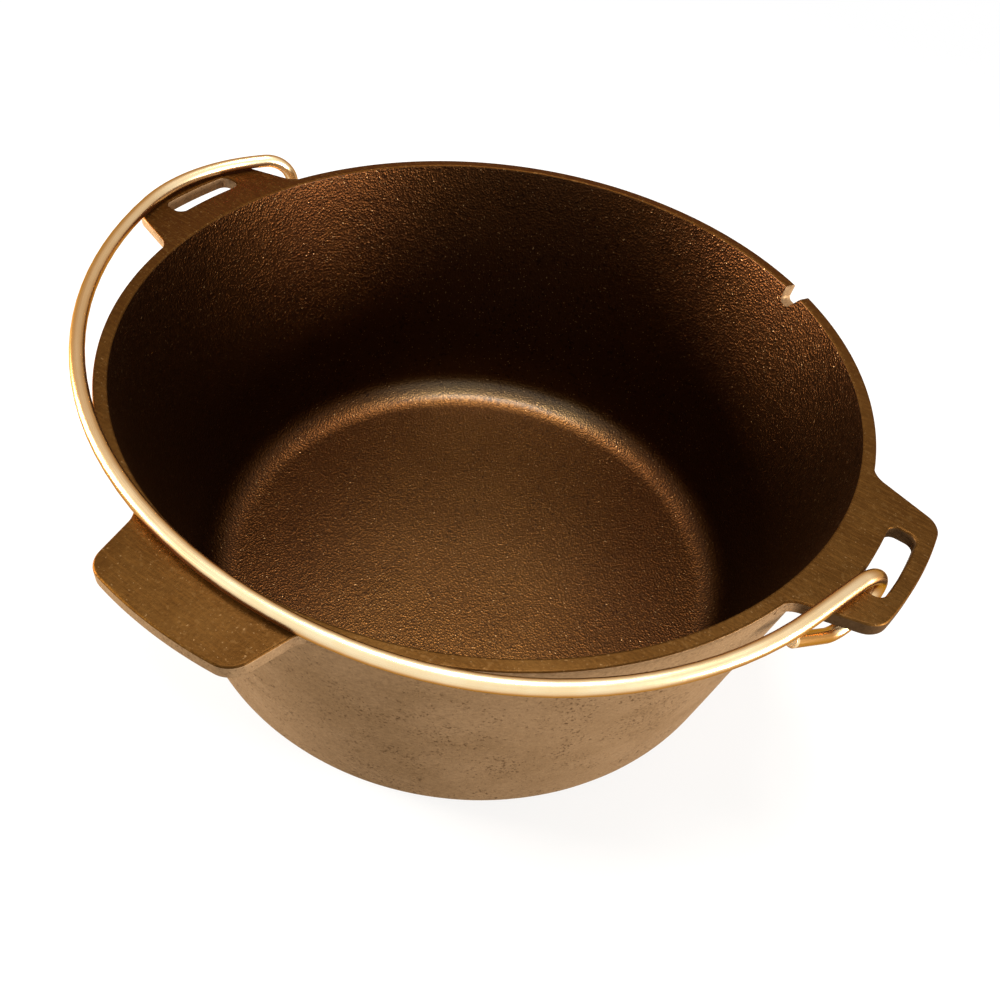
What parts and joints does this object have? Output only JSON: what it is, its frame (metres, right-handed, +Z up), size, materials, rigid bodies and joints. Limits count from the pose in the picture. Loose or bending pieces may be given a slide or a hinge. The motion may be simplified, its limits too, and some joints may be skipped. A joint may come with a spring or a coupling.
{
  "type": "cast iron dutch oven",
  "caption": "Open round cast iron cooking pot with flush slotted ears, a solid front tab, a small rim notch and a swinging wire bail.",
  "frame": {"origin": "centre of the pot's flat base, on the surface it stands on", "axes": "+Z up out of the pot's mouth; +X through the right-hand slotted ear; -Y through the solid front tab, where the bail lies at rest"},
  "size_m": [0.3053, 0.2793, 0.1199],
  "materials": {
    "seasoned_cast_iron": "seasoned, fine sand-cast texture",
    "drawn_steel_wire": "drawn wire, satin"
  },
  "bodies": {
    "pot": {"pot_casting": "seasoned_cast_iron"},
    "bail": {"bail_handle": "drawn_steel_wire"}
  },
  "joints": [
    {"name": "bail_swing", "type": "hinge", "parent": "pot", "child": "bail", "pos_m": [0, 0.0087, 0.114], "axis": [-0.9881, 0.1539, 0], "range_deg": [0, 90]}
  ]
}
